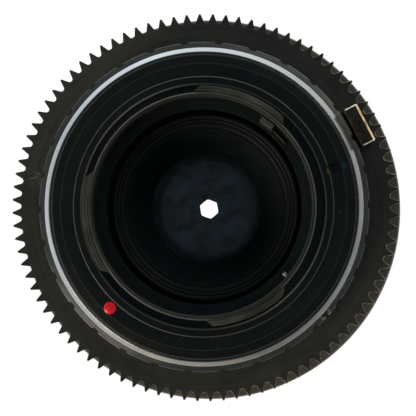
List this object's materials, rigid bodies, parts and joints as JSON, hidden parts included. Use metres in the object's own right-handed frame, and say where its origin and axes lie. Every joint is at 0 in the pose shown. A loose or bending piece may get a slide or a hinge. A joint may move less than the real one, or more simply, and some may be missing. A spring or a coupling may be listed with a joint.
{
  "type": "cinema prime lens",
  "caption": "Cinema prime lens with a bayonet mount, fluted aperture ring, toothed follow-focus ring, wide front barrel and an iris whose blades move with the aperture ring.",
  "frame": {"origin": "centre of the mount's seat, on the optical axis", "axes": "+Z along the optical axis out of the rear of the lens, towards the camera body; -Y is the side with the red index bead"},
  "size_m": [0.08, 0.08, 0.0634],
  "materials": {
    "black_anodised": "black anodised, satin",
    "polished_aluminium": "polished",
    "red_bead": "glossy",
    "blackened_steel": "blackened",
    "steel": "satin",
    "washer_polymer": "matt",
    "barrel_black": "black anodised, fine turned",
    "flat_black": "flat black",
    "spring_wire": "tempered brown",
    "gear_black": "black anodised, worn tooth edges",
    "stop_metal": "satin bronze",
    "grip_rubber": "matt ribbed",
    "brass": "turned",
    "coated_glass": "coated",
    "turned_grey": "turned grey",
    "blade_steel": "blued, matt"
  },
  "bodies": {
    "barrel": {"bayonet_mount": "black_anodised", "mount_trim_ring": "polished_aluminium", "index_bead": "red_bead", "mount_screws": "blackened_steel", "fixed_barrel": "black_anodised", "focus_stop_tab": "steel", "rear_thrust_washer": "washer_polymer", "front_thrust_washer": "washer_polymer", "front_barrel": "barrel_black", "front_barrel_screws": "blackened_steel", "front_light_trap": "flat_black", "lever_retainer": "black_anodised", "lever_retainer_screws": "steel", "lever_spring": "spring_wire", "sleeve_pin": "steel"},
    "focus_unit": {"focus_ring": "barrel_black", "follow_focus_gear": "gear_black", "gear_screws": "steel", "focus_stop_block": "stop_metal", "focus_grip": "grip_rubber"},
    "optic_unit": {"optic_barrel": "black_anodised", "cam_pins": "brass", "rear_cell": "flat_black", "rear_retaining_ring": "flat_black", "rear_element": "coated_glass", "rear_spacer": "flat_black", "rear_inner_element": "coated_glass", "front_cell": "flat_black", "front_retaining_ring": "flat_black", "front_element": "coated_glass", "front_spacer": "flat_black", "front_second_element": "coated_glass", "front_inner_element": "coated_glass", "iris_base_plate": "flat_black", "iris_cover_ring": "flat_black"},
    "aperture_unit": {"aperture_ring": "turned_grey", "aperture_keys": "blackened_steel", "iris_drive_ring": "brass"},
    "iris_cam": {"iris_cam_ring": "brass", "iris_cam_pin": "steel"},
    "blade_1": {"iris_blade_1": "blade_steel"},
    "blade_2": {"iris_blade_2": "blade_steel"},
    "blade_3": {"iris_blade_3": "blade_steel"},
    "blade_4": {"iris_blade_4": "blade_steel"},
    "blade_5": {"iris_blade_5": "blade_steel"},
    "blade_6": {"iris_blade_6": "blade_steel"},
    "lever": {"stop_down_lever": "blackened_steel", "lever_hook": "spring_wire"}
  },
  "joints": [
    {"name": "focus_turn", "type": "hinge", "parent": "barrel", "child": "focus_unit", "pos_m": [0, 0, -0.02], "axis": [0, 0, 1], "range_deg": [-58, 102]},
    {"name": "focus_travel", "type": "slide", "parent": "barrel", "child": "optic_unit", "axis": [0, 0, 1], "range_m": [-0.00575, 0.00328]},
    {"name": "aperture_turn", "type": "hinge", "parent": "barrel", "child": "aperture_unit", "pos_m": [0, 0, -0.005], "axis": [0, 0, 1], "range_deg": [-4, 40]},
    {"name": "iris_cam_turn", "type": "hinge", "parent": "optic_unit", "child": "iris_cam", "pos_m": [0, 0, -0.02835], "axis": [0, 0, 1], "range_deg": [-4.05, 40.05]},
    {"name": "blade_1_turn", "type": "hinge", "parent": "optic_unit", "child": "blade_1", "pos_m": [0.01933, 0.00322, -0.0308], "axis": [0, 0, 1], "range_deg": [-26.76, 2.73]},
    {"name": "blade_2_turn", "type": "hinge", "parent": "optic_unit", "child": "blade_2", "pos_m": [0.00688, 0.01835, -0.0308], "axis": [0, 0, 1], "range_deg": [-26.76, 2.73]},
    {"name": "blade_3_turn", "type": "hinge", "parent": "optic_unit", "child": "blade_3", "pos_m": [-0.01245, 0.01513, -0.0308], "axis": [0, 0, 1], "range_deg": [-26.76, 2.73]},
    {"name": "blade_4_turn", "type": "hinge", "parent": "optic_unit", "child": "blade_4", "pos_m": [-0.01933, -0.00322, -0.0308], "axis": [0, 0, 1], "range_deg": [-26.76, 2.73]},
    {"name": "blade_5_turn", "type": "hinge", "parent": "optic_unit", "child": "blade_5", "pos_m": [-0.00688, -0.01835, -0.0308], "axis": [0, 0, 1], "range_deg": [-26.76, 2.73]},
    {"name": "blade_6_turn", "type": "hinge", "parent": "optic_unit", "child": "blade_6", "pos_m": [0.01245, -0.01513, -0.0308], "axis": [0, 0, 1], "range_deg": [-26.76, 2.73]},
    {"name": "stop_down_turn", "type": "hinge", "parent": "barrel", "child": "lever", "pos_m": [0, 0, -0.0037], "axis": [0, 0, 1], "range_deg": [0, 28], "stiffness_Nm_per_rad": 0.02, "springref_deg": -17.19}
  ],
  "couplings": [
    {"joint": "focus_travel", "follows": "focus_turn", "m_per_rad": -0.0032229},
    {"joint": "iris_cam_turn", "follows": "aperture_turn", "ratio": 1},
    {"joint": "blade_1_turn", "follows": "aperture_turn", "ratio": -0.66741},
    {"joint": "blade_2_turn", "follows": "aperture_turn", "ratio": -0.66741},
    {"joint": "blade_3_turn", "follows": "aperture_turn", "ratio": -0.66741},
    {"joint": "blade_4_turn", "follows": "aperture_turn", "ratio": -0.66741},
    {"joint": "blade_5_turn", "follows": "aperture_turn", "ratio": -0.66741},
    {"joint": "blade_6_turn", "follows": "aperture_turn", "ratio": -0.66741}
  ]
}
